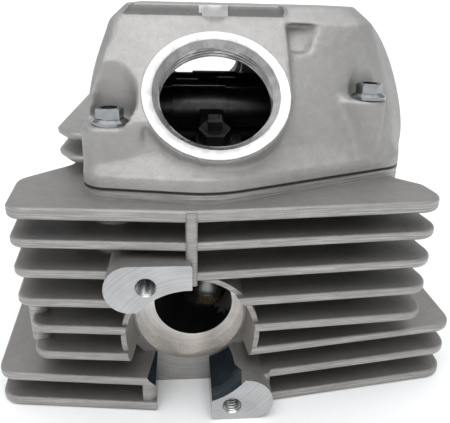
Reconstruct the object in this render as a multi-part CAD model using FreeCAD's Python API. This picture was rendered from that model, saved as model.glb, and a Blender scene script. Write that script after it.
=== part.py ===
import FreeCAD, Part
import math
import os

# Air-cooled single-cylinder head with its rocker cover and valve train, in millimetres.
# Origin: the cylinder's axis on the gasket face. +X is the cam chain side, -Y the exhaust
# side, +Y the intake side and +Z points away from the cylinder.

V = FreeCAD.Vector
X_AXIS = V(1, 0, 0)
Y_AXIS = V(0, 1, 0)
Z_AXIS = V(0, 0, 1)

# ---- driving dimensions ----------------------------------------------------------------
FIN_PITCH = 10.8
FIN_COUNT = 8
FIN_THICK = 3.2
TOP_FIN_THICK = 4.2
FIN_EDGE = 1.1
TOP_FIN_Z = 79.0
FIN_END_TOP = 14.2
SEAM_Z = 82.5
COVER_FLANGE_Z = 87.0
COVER_TOP_Z = 137.5
COVER_WALL = 4.5
FOOT_TOP_Z = 92.5
SCOOP = (37.5, -48.0, 122.3)
SCOOP_R = 5.5
SCOOP_TOP_R = 11.5
SCOOP_HEIGHT = 9.6
CAP_BOSS_R = 5.2
CAP_BOSS_Y = -36.6

VALVE_PLANE_X = 9.0
VALVE_TILT = math.radians(22.0)
CHAMBER_R = 56.0
CHAMBER_DROP = 34.0
STEM_R = 3.0
TIP_S = 67.0
POCKET_S = 33.5
SEAT_WASHER = 1.5
SPRING_TOP_S = 57.5
RETAINER_TOP_S = 62.0
SPRING_POCKET_R = 15.5
LASH = 0.1
VALVE_FACE_DROP = 1.2
SEAT_GAP = 0.07
FOOT_R = 6.0

CAM_Z = SEAM_Z
CAM_BASE_R = 13.0
CAM_LIFT = 5.0
LOBE_X = 0.0
LOBE_WIDTH = 10.0
BEARING_R = 16.0
BEARING_BORE_R = 9.0
BEARING_WIDTH = 10.0
BEARING_X = (-28.0, 40.0)
BALL_R = 2.3
BALL_PITCH_R = 12.5
BALL_COUNT = 10
BALL_PLAY = 0.05
EXHAUST_NOSE = -27.0
INTAKE_NOSE = 207.0
SPROCKET_X = 68.0
SPROCKET_THICK = 4.5
SPROCKET_TEETH = 30
CHAIN_PITCH = 6.35
SPROCKET_BOLT_Y = 9.5

HUB_X = (-6.0, 15.0)
SLIPPER_R = 6.0
SLIPPER_ANGLE = math.radians(100.0)
SLIPPER_GAP = 0.06
ROCKER_Y = -22.5
ROCKER_Z = 99.0
ROCKER_SHAFT_R = 6.0
ROCKER_HUB_R = 8.5
RUNNING = 0.03
ADJUSTER_R = 3.5

PORT_Z = 30.4
PORT_FACE_Y = -66.0
LUG_FACE_Y = -88.0
PORT_RECESS_R = 20.0
PORT_RECESS_DEPTH = 8.3
PORT_THROAT_R = 15.2
PORT_CLEARANCE_R = 23.3
LUG_HOLE_X = 14.3
LUG_HOLE_DZ = 24.35
M8_TAP_R = 3.4

INTAKE_FACE_Y = 87.0
INTAKE_Z = 44.0
INTAKE_BORE_R = 17.0
MANIFOLD_BORE = 10.0
INTAKE_STUD_X = 33.0
M6_TAP_R = 2.5

STUD_X = 54.0
STUD_Y = 32.0
STUD_R = 5.25
STUD_WELL_R = 9.5

OPENING_Y = -61.0
OPENING_Z = 111.1
OPENING_ELEVATION = math.radians(43.0)
RIM_R = 24.9
OPENING_R = 18.7
RIM_BEVEL = 2.4
RIM_BEVEL_DEPTH = 1.3
THREAD_DEPTH = 6.4
THREAD_START = 2.3
THREAD_PITCH = 1.5
THREAD_GROOVE = 0.9
THREAD_GROOVES = 3
BOX_DEPTH = 48.0
BOX_ROOM_DEPTH = 44.0
BOX_ROOM_TOP_Z = 131.0
BOX_REAR_Y = -8.0

TUNNEL_X0 = 62.0
TUNNEL_X1 = 83.0
TUNNEL_HALF = 26.0
CAM_BOX_FLOOR = 56.0

BOLT_R = 3.0
# x, y, height of the boss top, radius of the boss and of the socket's clearance above it
COVER_BOLTS = (
    (-25.6, -61.5, 101.0, 9.4, 8.7),
    (64.2, -48.3, 107.6, 6.3, 7.0),
)
BOLT_GRIP = 16.0
LEFT_BLOCK_FRONT = 7.4
COLUMN_R = 7.4
BOLT_AF = 8.0
BOLT_HEAD_TOP = 5.3
BOLT_FLANGE_R = 6.0
DOWELS = ((-23.0, -23.5), (43.0, 23.5))

BULKHEAD_LEFT = (-30.0, -16.0, 30.0)
BULKHEAD_RIGHT = (38.0, 50.0, 45.0)


# ---- small helpers ---------------------------------------------------------------------
def rounded_wire(corners, z):
    """Closed wire through (x, y, radius) corners, each rounded by a tangent arc."""
    points = [V(x, y, z) for x, y, _ in corners]
    edges = []
    ends = []
    for i, (_, _, radius) in enumerate(corners):
        here = points[i]
        back = (points[i - 1] - here).normalize()
        ahead = (points[(i + 1) % len(points)] - here).normalize()
        half = back.getAngle(ahead) / 2
        reach = radius / math.tan(half)
        bisector = (back + ahead).normalize()
        middle = here + bisector * (radius / math.sin(half) - radius)
        ends.append((here + back * reach, middle, here + ahead * reach))
    for i, (start, middle, end) in enumerate(ends):
        edges.append(Part.Arc(start, middle, end).toShape())
        edges.append(Part.LineSegment(end, ends[(i + 1) % len(ends)][0]).toShape())
    return Part.Wire(edges)


def prism(corners, z0, z1):
    return Part.Face(rounded_wire(corners, z0)).extrude(V(0, 0, z1 - z0))


def prism_y(corners, y0, y1):
    """Outline given as (x, z, radius), extruded from y0 to y1."""
    body = prism(corners, -y1, -y0)
    body.rotate(V(0, 0, 0), X_AXIS, 90)
    return body


def box(x0, x1, y0, y1, z0, z1):
    return Part.makeBox(x1 - x0, y1 - y0, z1 - z0, V(x0, y0, z0))


def rod(x, y, z0, z1, radius):
    return Part.makeCylinder(radius, z1 - z0, V(x, y, z0), Z_AXIS)


def rod_x(x0, x1, y, z, radius):
    return Part.makeCylinder(radius, x1 - x0, V(x0, y, z), X_AXIS)


def turned(profile):
    """Solid of revolution about Z from (radius, height) points."""
    points = [V(r, 0, z) for r, z in profile]
    face = Part.Face(Part.makePolygon(points + [points[0]]))
    return face.revolve(V(0, 0, 0), Z_AXIS, 360)


def fuse(shapes):
    shapes = list(shapes)
    return shapes[0].multiFuse(shapes[1:]).removeSplitter()


def front_and_rear(shape):
    """The shape and its copy mirrored to the intake side."""
    return [shape, shape.mirror(V(0, 0, 0), Y_AXIS)]


def turned_to_rear(shape):
    """Copy of an exhaust-side piece, turned half round about the middle of the valve plane."""
    copy = shape.copy()
    copy.rotate(V(VALVE_PLANE_X, 0, 0), Z_AXIS, 180)
    return copy


def both_halves(front_half):
    """Outline symmetric about the X axis, from its front half given left to right."""
    rear_half = [(x, -y, r) for x, y, r in reversed(front_half)]
    return front_half + rear_half


def export(name, shape):
    shape.exportStep("parts/" + name + ".step")


# ---- the valves' own frame ---------------------------------------------------------------
def seat_centre(side):
    """Centre of the valve seat on the chamber roof; side is -1 exhaust, +1 intake."""
    height = CHAMBER_R * math.cos(VALVE_TILT) - CHAMBER_DROP
    return V(VALVE_PLANE_X, side * CHAMBER_R * math.sin(VALVE_TILT), height)


def valve_axis(side):
    return V(0, side * math.sin(VALVE_TILT), math.cos(VALVE_TILT))


def on_valve(shape, side):
    """Moves a shape drawn about Z, with the seat at 0, onto the inclined valve axis."""
    placed = shape.copy()
    turn = FreeCAD.Rotation(X_AXIS, -side * math.degrees(VALVE_TILT))
    placed.Placement = FreeCAD.Placement(seat_centre(side), turn).multiply(placed.Placement)
    return placed


def along_valve(side, distance):
    return seat_centre(side) + valve_axis(side) * distance


# radius of valve head, throat, seat insert and duct, and height of the duct's bend
EXHAUST = {"side": -1, "head": 16.0, "throat": 13.4, "insert": 17.8, "duct": 12.2, "bend": 12.0}
INTAKE = {"side": 1, "head": 18.5, "throat": 15.6, "insert": 20.0, "duct": 14.0, "bend": 13.0}


# ---- outlines -----------------------------------------------------------------------------
FLANGE = both_halves([(-35.0, -71.8, 9.5), (8.0, -79.6, 32.0), (78.0, -50.5, 12.0), (88.5, -24.0, 25.0)])

CORE = both_halves([(-43.0, -58.0, 14.0), (4.0, -66.0, 25.0), (74.0, -47.0, 12.0), (86.5, -22.0, 20.0)])

UPPER_LEFT = [(-44.5, -34.0, 6.0), (-60.5, -52.0, 8.0), (-57.5, -79.4, 6.5)]
SHORT_LEFT = [(-44.5, -34.0, 6.0), (-58.0, -52.0, 8.0), (-54.0, -79.0, 6.5)]
LOWER_LEFT = [(-69.0, -76.0, 8.0)]
UPPER_RIGHT = [(86.5, -77.3, 9.0), (84.5, -60.0, 6.0), (75.0, -50.0, 6.0), (88.5, -24.0, 12.0)]
LOWER_RIGHT = [(102.0, -69.5, 9.0)]
LOWER_LEFT_END = [(-76.0, 0.0, 40.0)]


def fin_outline(level):
    """Plan of one cooling fin, level 1 at the top."""
    if level <= 4:
        left = UPPER_LEFT
    elif level <= 6:
        left = SHORT_LEFT
    else:
        left = LOWER_LEFT
    right = UPPER_RIGHT if level <= 5 else LOWER_RIGHT
    nose = [(0.0, -84.2, 6.0)]
    front_half = left + nose + right
    rear_half = [(x, -y, r) for x, y, r in reversed(front_half)]
    end = LOWER_LEFT_END if level >= 7 else []
    return front_half + rear_half + end


def fin(level):
    top = TOP_FIN_Z - FIN_PITCH * (level - 1)
    thick = TOP_FIN_THICK if level == 1 else FIN_THICK
    bottom = max(top - thick, 0.0)
    plate = prism(fin_outline(level), bottom, top)
    rims = [e for e in plate.Edges if abs(e.BoundBox.ZLength) < 0.01]
    if bottom == 0.0:
        rims = [e for e in rims if e.BoundBox.ZMin > top - 0.01]
    return plate.makeFillet(FIN_EDGE, rims)


# ---- cylinder head -------------------------------------------------------------------------
def exhaust_lug(corners):
    return prism_y(corners, LUG_FACE_Y, -60.0)


def head_outside():
    solids = [fin(level) for level in range(1, FIN_COUNT + 1)]
    solids.append(prism(CORE, 0.0, TOP_FIN_Z))
    solids.append(prism(FLANGE, TOP_FIN_Z - 6.0, SEAM_Z))
    # cast boss and wall round the exhaust port
    port_start = V(0, -40.0, PORT_Z)
    solids.append(Part.makeCylinder(24.0, 26.0, port_start, V(0, -1, 0)))
    port_wall = Part.makeCylinder(24.0, 40.0, port_start, V(0, -1, 0))
    solids.append(port_wall.common(box(-30, 30, -85, -50, 21.8, 60)))
    solids.append(box(-13.0, 8.0, PORT_FACE_Y, -50.0, 0.0, 14.0))
    # blocks that join the fin ends beside the port
    left_end = [(-17.5, -50, 0.5), (-17.5, -80.6, 0.5), (-12.5, -81.0, 2.5), (-12.5, -50, 0.5)]
    right_end = [(8.0, -50, 0.5), (8.0, -84.0, 0.5), (29.0, -81.5, 3.0), (29.0, -50, 0.5)]
    for outline in (left_end, right_end):
        solids.append(prism(outline, 0.0, FIN_END_TOP))
    # stud lugs, front rib and the small pillar between the left fins
    solids.append(exhaust_lug([(-27.7, 45.5, 8.3), (0.4, 45.5, 0.5), (0.4, 62.3, 0.8), (-27.7, 62.3, 8.3)]))
    solids.append(exhaust_lug([(7.2, 0.0, 1.0), (28.9, 0.0, 7.0), (28.9, 16.9, 9.8), (7.2, 16.9, 1.0)]))
    rib = [(-1.6, -84.9, 1.3), (2.2, -84.9, 1.3), (2.2, -60.0, 0.5), (-1.6, -60.0, 0.5)]
    solids.append(prism(rib, 50.0, TOP_FIN_Z - 0.5))
    solids.append(rod(-53.5, -68.0, 24.0, 45.0, 3.6))
    # rear: intake flange with its neck
    flange = [(-32.0, 26.0, 12.0), (50.0, 26.0, 12.0), (50.0, 62.0, 12.0), (-32.0, 62.0, 12.0)]
    solids.append(prism_y(flange, 78.0, INTAKE_FACE_Y))
    solids.append(Part.makeCylinder(22.0, 40.0, V(VALVE_PLANE_X, 45.0, INTAKE_Z), Y_AXIS))
    # pillars of the two outer cylinder studs and of the corner cover bolts
    for sign in (-1, 1):
        solids.append(rod(-STUD_X, sign * STUD_Y, 0.0, 25.0, STUD_WELL_R))
        for x, y, *_ in COVER_BOLTS:
            solids.append(rod(x, sign * y, CAM_BOX_FLOOR, TOP_FIN_Z, COLUMN_R))
    return fuse(solids)


def cam_box():
    """Room for the camshaft and springs, with the bearing walls and bolt columns left standing."""
    low = [(-29.0, -53.0, 8.0), (6.0, -60.5, 25.0), (69.0, -42.5, 9.0), (81.0, -22.0, 18.0)]
    high = [(-29.5, -66.0, 6.0), (8.0, -73.0, 28.0), (73.0, -45.5, 9.0), (83.0, -24.0, 20.0)]
    room = fuse([
        prism(both_halves(low), CAM_BOX_FLOOR, TOP_FIN_Z - 0.5),
        prism(both_halves(high), TOP_FIN_Z - 1.0, SEAM_Z + 1),
    ])
    for x0, x1, half in (BULKHEAD_LEFT, BULKHEAD_RIGHT):
        room = room.cut(box(x0, x1, -half, half, 50, 90))
    for x, y, *_ in COVER_BOLTS:
        for sign in (-1, 1):
            room = room.cut(rod(x, sign * y, 50, 90, COLUMN_R))
    return room


def duct(valve, exit_point, exit_radius):
    side = valve["side"]
    bend = along_valve(side, valve["bend"])
    run = exit_point - bend
    radius = valve["duct"]
    down = along_valve(side, -12.0) - bend
    return fuse([
        Part.makeCone(radius, exit_radius, run.Length, bend, run),
        Part.makeSphere(radius, bend),
        Part.makeCylinder(radius, down.Length, bend, down),
    ])


def bearing_bores():
    """Bores of both cam bearings, as solids to cut, and the shaft's way through the walls."""
    bores = []
    for x in BEARING_X:
        bores.append(rod_x(x, x + BEARING_WIDTH, 0, CAM_Z, BEARING_R))
    bores.append(rod_x(-18.5, 70.0, 0, CAM_Z, BEARING_R - 3.5))
    return fuse(bores)


def chamber_ball():
    return Part.makeSphere(CHAMBER_R, V(0, 0, -CHAMBER_DROP))


def plug_hole():
    start = V(-20.0, 0, 14.0)
    slope = V(-1, 0, 1)
    thread = Part.makeCylinder(5.4, 60.0, start, slope)
    well = Part.makeCylinder(12.0, 90.0, V(-33.0, 0, 27.0), slope)
    return thread.fuse(well)


def head_cuts():
    cuts = [chamber_ball(), cam_box(), plug_hole()]
    cuts.append(duct(EXHAUST, V(0, PORT_FACE_Y + 1.0, PORT_Z), PORT_THROAT_R))
    manifold_end = V(VALVE_PLANE_X, INTAKE_FACE_Y - MANIFOLD_BORE, INTAKE_Z)
    cuts.append(duct(INTAKE, manifold_end + Y_AXIS * 2.0, INTAKE_BORE_R - 1.5))
    cuts.append(Part.makeCylinder(INTAKE_BORE_R, MANIFOLD_BORE + 1.0, manifold_end, Y_AXIS))
    # exhaust pipe recess, its gasket face, and the clearance cut through fins and lugs
    outward = V(0, -1, 0)
    recess_floor = V(0, PORT_FACE_Y + PORT_RECESS_DEPTH, PORT_Z)
    cuts.append(Part.makeCylinder(PORT_RECESS_R, PORT_RECESS_DEPTH + 1.0, recess_floor, outward))
    port_face = V(0, PORT_FACE_Y, PORT_Z)
    cuts.append(Part.makeCone(PORT_RECESS_R + 0.8, PORT_CLEARANCE_R, 24.0, port_face, outward))
    cuts.append(box(-12.5, 7.2, -100.0, PORT_FACE_Y, -1.0, 20.0))
    for sign in (-1, 1):
        hole = V(sign * LUG_HOLE_X, LUG_FACE_Y - 1, PORT_Z - sign * LUG_HOLE_DZ)
        cuts.append(Part.makeCylinder(M8_TAP_R, 21.0, hole, Y_AXIS))
    for sign in (-1, 1):
        hole = V(VALVE_PLANE_X + sign * INTAKE_STUD_X, INTAKE_FACE_Y + 1, INTAKE_Z)
        cuts.append(Part.makeCylinder(M6_TAP_R, 17.0, hole, outward))
    # cylinder studs, with a well above the outer pair
    for x in (-STUD_X, STUD_X):
        for y in (-STUD_Y, STUD_Y):
            cuts.append(rod(x, y, -1.0, 60.0, STUD_R))
    for sign in (-1, 1):
        cuts.append(rod(-STUD_X, sign * STUD_Y, 25.0, 90.0, STUD_WELL_R))
    # chain tunnel
    tunnel = [(TUNNEL_X0, -TUNNEL_HALF, 6.0), (TUNNEL_X1, -TUNNEL_HALF, 6.0),
              (TUNNEL_X1, TUNNEL_HALF, 6.0), (TUNNEL_X0, TUNNEL_HALF, 6.0)]
    cuts.append(prism(tunnel, -1.0, 60.0))
    # valve parts
    for valve in (EXHAUST, INTAKE):
        side = valve["side"]
        pocket = Part.makeCylinder(SPRING_POCKET_R, 40.0, V(0, 0, POCKET_S))
        guide = Part.makeCylinder(5.5, 30.0, V(0, 0, 15.0))
        insert = Part.makeCylinder(valve["insert"], 17.0, V(0, 0, -10.0))
        for tool in (pocket, guide, insert):
            cuts.append(on_valve(tool, side))
    cuts.append(bearing_bores())
    for x, y, *_ in COVER_BOLTS:
        for sign in (-1, 1):
            cuts.append(rod(x, sign * y, SEAM_Z - BOLT_GRIP - 4.0, SEAM_Z + 1, BOLT_R))
    for x, y in DOWELS:
        cuts.append(rod(x, y, SEAM_Z - 6.0, SEAM_Z + 1, 4.0))
    return cuts


def cylinder_head():
    head = head_outside()
    for tool in head_cuts():
        head = head.cut(tool)
    return keep_largest(head)


def keep_largest(shape):
    return max(shape.Solids, key=lambda s: s.Volume)


# ---- rocker cover ---------------------------------------------------------------------------
# (z, left-front corner, nose, right-front corner, right side) of the cover's body
COVER_SECTIONS = [
    (84.0, (-33.5, -68.5, 8.0), (8.0, -74.0, 30.0), (75.5, -48.5, 12.0), (89.5, -23.0, 22.0)),
    (100.0, (-33.4, -64.0, 8.0), (10.0, -68.0, 25.0), (74.5, -45.5, 13.0), (88.4, -22.0, 22.0)),
    (112.0, (-32.8, -57.0, 7.0), (12.0, -60.0, 20.0), (71.0, -42.5, 14.0), (85.0, -20.0, 22.0)),
    (124.0, (-29.8, -48.5, 7.0), (15.0, -50.0, 16.0), (67.5, -40.5, 13.0), (79.5, -17.0, 20.0)),
    (132.0, (-27.2, -42.0, 6.0), (17.0, -43.0, 14.0), (65.5, -39.5, 10.0), (73.5, -14.0, 18.0)),
]
CAP_SECTION = [(-21.5, -35.5, 6.0), (17.0, -36.5, 14.0), (59.0, -31.5, 9.0), (67.0, -12.0, 16.0)]


def section_wire(section, inset):
    z, *corners = section
    half = []
    for x, y, r in corners:
        shift = inset if x < 0 else -inset if x > 50 else 0.0
        half.append((x + shift, y + inset, max(r - inset, 3.0)))
    return rounded_wire(both_halves(half), z)


def cover_body():
    body = Part.makeLoft([section_wire(s, 0.0) for s in COVER_SECTIONS], True)
    cap_base = section_wire(COVER_SECTIONS[-1], 0.0)
    cap_top = rounded_wire(both_halves(CAP_SECTION), COVER_TOP_Z)
    return body.fuse(Part.makeLoft([cap_base, cap_top], True, True))


def cover_hollow():
    sections = [section_wire(s, COVER_WALL) for s in COVER_SECTIONS]
    hollow = Part.makeLoft(sections, True)
    skirt = Part.Face(section_wire((SEAM_Z - 1.0,) + COVER_SECTIONS[0][1:], COVER_WALL))
    return hollow.fuse(skirt.extrude(V(0, 0, 3.0)))


def opening_frame():
    """Centre, outward normal and uphill direction of the tappet opening's face."""
    centre = V(VALVE_PLANE_X, OPENING_Y, OPENING_Z)
    outward = V(0, -math.cos(OPENING_ELEVATION), math.sin(OPENING_ELEVATION))
    uphill = V(0, math.sin(OPENING_ELEVATION), math.cos(OPENING_ELEVATION))
    return centre, outward, uphill


def on_opening(shape):
    """Moves a shape drawn on the XY plane, outward along Z, onto the opening's face."""
    centre, outward, uphill = opening_frame()
    placed = shape.copy()
    matrix = FreeCAD.Matrix(1, 0, 0, centre.x, 0, uphill.y, outward.y, centre.y,
                            0, uphill.z, outward.z, centre.z, 0, 0, 0, 1)
    placed.Placement = FreeCAD.Placement(matrix).multiply(placed.Placement)
    return placed


# outline of the sloping box round the opening, about the opening's centre: (x, uphill, radius)
BOX_OUTLINE = [
    (25.4, -3.0, 3.0), (25.4, 31.5, 5.0), (-29.5, 31.5, 3.0), (-36.7, 17.5, 6.0), (-41.5, -4.0, 3.0),
    (-41.5, -11.8, 1.0), (-14.0, -11.8, 1.0), (-14.0, -20.0, 1.0), (-6.0, -20.0, 1.0),
]
BOX_INSIDE = [
    (20.5, -3.0, 3.0), (20.5, 26.0, 4.0), (-26.5, 26.0, 4.0), (-33.0, 12.0, 5.0),
    (-33.0, -2.0, 4.0), (-16.0, -12.0, 3.0), (-6.0, -14.0, 2.0),
]
def exhaust_side(rear_y, z0, z1):
    """Room to trim a piece of the exhaust side to: in front of a plane and between two heights."""
    return box(-60.0, 60.0, -100.0, rear_y, z0, z1)


def opening_box():
    outline = on_opening(prism(BOX_OUTLINE, -BOX_DEPTH, 0.0))
    return outline.common(exhaust_side(BOX_REAR_Y, SEAM_Z + 1.0, COVER_TOP_Z))


def opening_rim():
    """Round boss of the tappet opening, down to the seam."""
    boss = on_opening(Part.makeCylinder(RIM_R, BOX_DEPTH - 8.0, V(0, 0, 8.0 - BOX_DEPTH)))
    return boss.common(exhaust_side(BOX_REAR_Y, SEAM_Z, COVER_TOP_Z))


def in_front_of_box():
    """Space outside the sloping face, where the cover's body is cut back."""
    return on_opening(prism(BOX_OUTLINE, 0.0, BOX_DEPTH))


def foot():
    """Flared foot that spreads the walls onto the seam flange."""
    upper = both_halves([(-34.5, -64.5, 7.0), (8.0, -73.5, 28.0), (75.5, -46.5, 10.0), (87.0, -24.0, 24.0)])
    lower_wire = rounded_wire(FLANGE, COVER_FLANGE_Z - 1.0)
    return Part.makeLoft([lower_wire, rounded_wire(upper, FOOT_TOP_Z)], True, True)


def bolt_blocks():
    """Blocks that carry the corner bolts; the walls swallow their inner sides."""
    x, y, z, radius, _ = COVER_BOLTS[0]
    front = y - LEFT_BLOCK_FRONT
    outline = [(x - radius, front, 7.0), (-15.0, front, 1.5), (-15.0, -50.0, 0.5), (x - radius, -50.0, 0.5)]
    left = prism(outline, SEAM_Z + 2.0, z)
    x, y, z, radius, _ = COVER_BOLTS[1]
    right = prism([(49.5, -48.8, 0.5), (x - 2.5, y - radius, 6.0), (x + radius, y - radius, radius - 0.1),
                   (x + radius, -38.0, 0.5), (49.5, -38.0, 0.5)], SEAM_Z + 2.0, z)
    return [left, right]


def opening_cuts():
    # the threaded bore has shallow grooves, cut as separate rings
    bore = Part.makeCylinder(OPENING_R, 22.0, V(0, 0, -16.0))
    outer_r = OPENING_R + 2 * RIM_BEVEL
    bevel = Part.makeCone(OPENING_R, outer_r, 2 * RIM_BEVEL_DEPTH, V(0, 0, -RIM_BEVEL_DEPTH))
    tools = [bore, bevel]
    for turn in range(THREAD_GROOVES):
        depth = -THREAD_START - THREAD_PITCH * turn
        low = depth - THREAD_GROOVE / 2
        high = depth + THREAD_GROOVE / 2
        groove = [(OPENING_R - 1.0, low), (OPENING_R, low), (OPENING_R + 0.6, depth), (OPENING_R, high),
                  (OPENING_R - 1.0, high)]
        tools.append(turned(groove))
    return [on_opening(tool) for tool in tools]


def opening_room():
    """Inside of the sloping box, from the thread down to the cam box."""
    inside = prism(BOX_INSIDE, -BOX_ROOM_DEPTH, -THREAD_DEPTH)
    round_inside = Part.makeCylinder(20.4, BOX_ROOM_DEPTH - THREAD_DEPTH, V(0, 0, -BOX_ROOM_DEPTH))
    limits = exhaust_side(0.0, SEAM_Z - 1.0, BOX_ROOM_TOP_Z)
    return on_opening(inside.fuse(round_inside)).common(limits)


def cap_slab():
    """Steep-sided slab on top, between the upper ends of the two sloping boxes."""
    low = both_halves([(-23.5, -40.6, 4.0), (34.4, -40.6, 2.0)])
    high = both_halves([(-21.5, -39.4, 4.0), (34.0, -39.4, 2.0)])
    return Part.makeLoft([rounded_wire(low, COVER_TOP_Z - 5.5), rounded_wire(high, COVER_TOP_Z)], True, True)


def side_fins():
    """Two short fins behind the left bolt."""
    fins = []
    for top in (86.6, 94.8):
        outline = both_halves([(-48.5, -38.0, 9.0), (-41.0, -50.5, 5.0), (-25.0, -48.0, 1.0)])
        plate = prism(outline, top - 3.0, top)
        rims = [e for e in plate.Edges if abs(e.BoundBox.ZLength) < 0.01]
        fins.append(plate.makeFillet(1.2, rims))
    return fins


def cover_outside():
    body = fuse([cover_body(), foot()] + side_fins())
    x, y, z = SCOOP
    for tool in (in_front_of_box(), Part.makeCone(SCOOP_R, SCOOP_TOP_R, SCOOP_HEIGHT, V(x, y, z))):
        for solid in front_and_rear(tool):
            body = body.cut(solid)
    outside = fuse([body, prism(FLANGE, SEAM_Z, COVER_FLANGE_Z)] + front_and_rear(opening_box()))
    # scoops that let a socket reach the bolts
    for x, y, z, _, clearance in COVER_BOLTS:
        for tool in front_and_rear(rod(x, y, z, z + 60.0, clearance)):
            outside = outside.cut(tool)
    cap_boss = rod(VALVE_PLANE_X, CAP_BOSS_Y, COVER_TOP_Z - 9.5, COVER_TOP_Z, CAP_BOSS_R)
    for boss in bolt_blocks() + [opening_rim(), cap_boss, cap_slab()]:
        for solid in front_and_rear(boss):
            outside = outside.fuse(solid)
    return outside


def cover_inside():
    hollow = cover_hollow()
    for room in front_and_rear(opening_room()):
        hollow = hollow.fuse(room)
    for x0, x1, half in (BULKHEAD_LEFT, BULKHEAD_RIGHT):
        hollow = hollow.cut(box(x0, x1, -half - 4.0, half + 4.0, SEAM_Z - 2, 110.0))
    x, y, z = SCOOP
    solid_parts = [rod(x, y, z - COVER_WALL, COVER_TOP_Z, SCOOP_TOP_R + COVER_WALL)]
    for x, y, z, radius, _ in COVER_BOLTS:
        solid_parts.append(rod(x, y, SEAM_Z - 2, z + 4.0, COLUMN_R))
        solid_parts.append(rod(x, y, z - 4.5, z + 30.0, radius + 2.5))
    for part in solid_parts:
        for solid in front_and_rear(part):
            hollow = hollow.cut(solid)
    # straight way in behind the thread
    way_in = Part.makeCylinder(OPENING_R + 0.8, 30.0, V(0, 0, -THREAD_DEPTH - 30.0))
    way_in = on_opening(way_in).common(exhaust_side(0.0, SEAM_Z - 1.0, BOX_ROOM_TOP_Z))
    for solid in front_and_rear(way_in):
        hollow = hollow.fuse(solid)
    return hollow


def rocker_cover():
    cover = cover_outside().cut(cover_inside())
    for tool in opening_cuts():
        for solid in front_and_rear(tool):
            cover = cover.cut(solid)
    cover = cover.cut(bearing_bores())
    for sign in (-1, 1):
        cover = cover.cut(rod_x(-27.0, 50.5, sign * ROCKER_Y, ROCKER_Z, ROCKER_SHAFT_R))
        for x, y, z, *_ in COVER_BOLTS:
            cover = cover.cut(rod(x, sign * y, SEAM_Z - 1, z + 1, BOLT_R + 0.3))
    for x, y in DOWELS:
        cover = cover.cut(rod(x, y, SEAM_Z - 1, SEAM_Z + 6.0, 4.0))
    return keep_largest(cover.cut(box(-100, 120, -120, 120, 0, SEAM_Z)))


# ---- fasteners -------------------------------------------------------------------------------
def hexagon(across_flats, z0, z1):
    radius = across_flats / math.sqrt(3)
    angles = [math.radians(60 * i) for i in range(6)]
    points = [V(radius * math.cos(angle), radius * math.sin(angle), z0) for angle in angles]
    return Part.Face(Part.makePolygon(points + [points[0]])).extrude(V(0, 0, z1 - z0))


def flange_bolt(length):
    """M6 flange bolt drawn about Z with the flange's underside at 0."""
    head = hexagon(BOLT_AF, 1.0, BOLT_HEAD_TOP)
    dome = turned([(0, 0), (13.0, 0), (3.8, BOLT_HEAD_TOP), (0, BOLT_HEAD_TOP)])
    washer = turned([(0, 0), (BOLT_FLANGE_R, 0), (BOLT_FLANGE_R, 1.0), (4.6, 1.9), (0, 1.9)])
    cup = Part.makeCylinder(2.6, 3.0, V(0, 0, BOLT_HEAD_TOP - 1.0))
    shank = Part.makeCylinder(BOLT_R, length, V(0, 0, -length))
    return head.common(dome).cut(cup).fuse(washer).fuse(shank).removeSplitter()


def cover_bolts():
    bolts = []
    for x, y, z, *_ in COVER_BOLTS:
        for sign in (-1, 1):
            bolt = flange_bolt(z - SEAM_Z + BOLT_GRIP)
            bolt.rotate(V(0, 0, 0), Z_AXIS, 17 if x < 0 else 43)
            bolt.translate(V(x, sign * y, z))
            bolts.append(bolt)
    return Part.makeCompound(bolts)


def cover_dowels():
    return Part.makeCompound([
        rod(x, y, SEAM_Z - 6.0, SEAM_Z + 6.0, 4.0).cut(rod(x, y, 70, 95, 3.0)) for x, y in DOWELS
    ])


# ---- valves ----------------------------------------------------------------------------------
def valve_seat(valve):
    ring = Part.makeCylinder(valve["insert"], 17.0, V(0, 0, -10.0))
    head = valve["head"]
    throat = valve["throat"]
    # 45 degree face, parallel to the valve's and a hair outside it
    wide = head + 3.0
    contact = head - VALVE_FACE_DROP + SEAT_GAP
    bore = turned([(0, -12), (wide, -12), (wide, contact - wide), (throat, contact - throat),
                   (throat, 12), (0, 12)])
    placed = on_valve(ring.cut(bore), valve["side"])
    return placed.cut(chamber_ball())


# groove near the stem's tip, as (radius, distance from the seat)
COLLET_GROOVE = [(STEM_R, 60.3), (2.6, 60.5), (2.6, 61.7), (STEM_R, 61.9)]


def poppet_valve(valve):
    head = valve["head"]
    profile = [
        (0, -2.6), (head, -2.6), (head, -VALVE_FACE_DROP), (head - 2.0, 2.0 - VALVE_FACE_DROP),
        (head * 0.62, 3.2), (5.2, 8.0), (STEM_R + 0.6, 12.5), (STEM_R, 17.0),
    ]
    tip = [(STEM_R, TIP_S - 0.4), (STEM_R - 0.4, TIP_S), (0, TIP_S)]
    return on_valve(turned(profile + COLLET_GROOVE + tip), valve["side"])


def valve_guide(valve):
    start = 19.0 if valve["side"] < 0 else 21.0
    bore = STEM_R + RUNNING
    profile = [(bore, start), (4.6, start), (5.5, start + 3.0), (5.5, 45.0), (bore, 45.0)]
    return on_valve(turned(profile), valve["side"])


def stem_seal(valve):
    profile = [(5.5, 38.0), (6.4, 38.0), (6.4, 45.5), (5.0, 47.5), (STEM_R + RUNNING, 47.5),
               (STEM_R + RUNNING, 45.0), (5.5, 45.0)]
    return on_valve(turned(profile), valve["side"])


def spring_seat(valve):
    top = POCKET_S + SEAT_WASHER
    profile = [(5.6, POCKET_S), (13.6, POCKET_S), (13.6, top), (5.6, top)]
    return on_valve(turned(profile), valve["side"])


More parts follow.
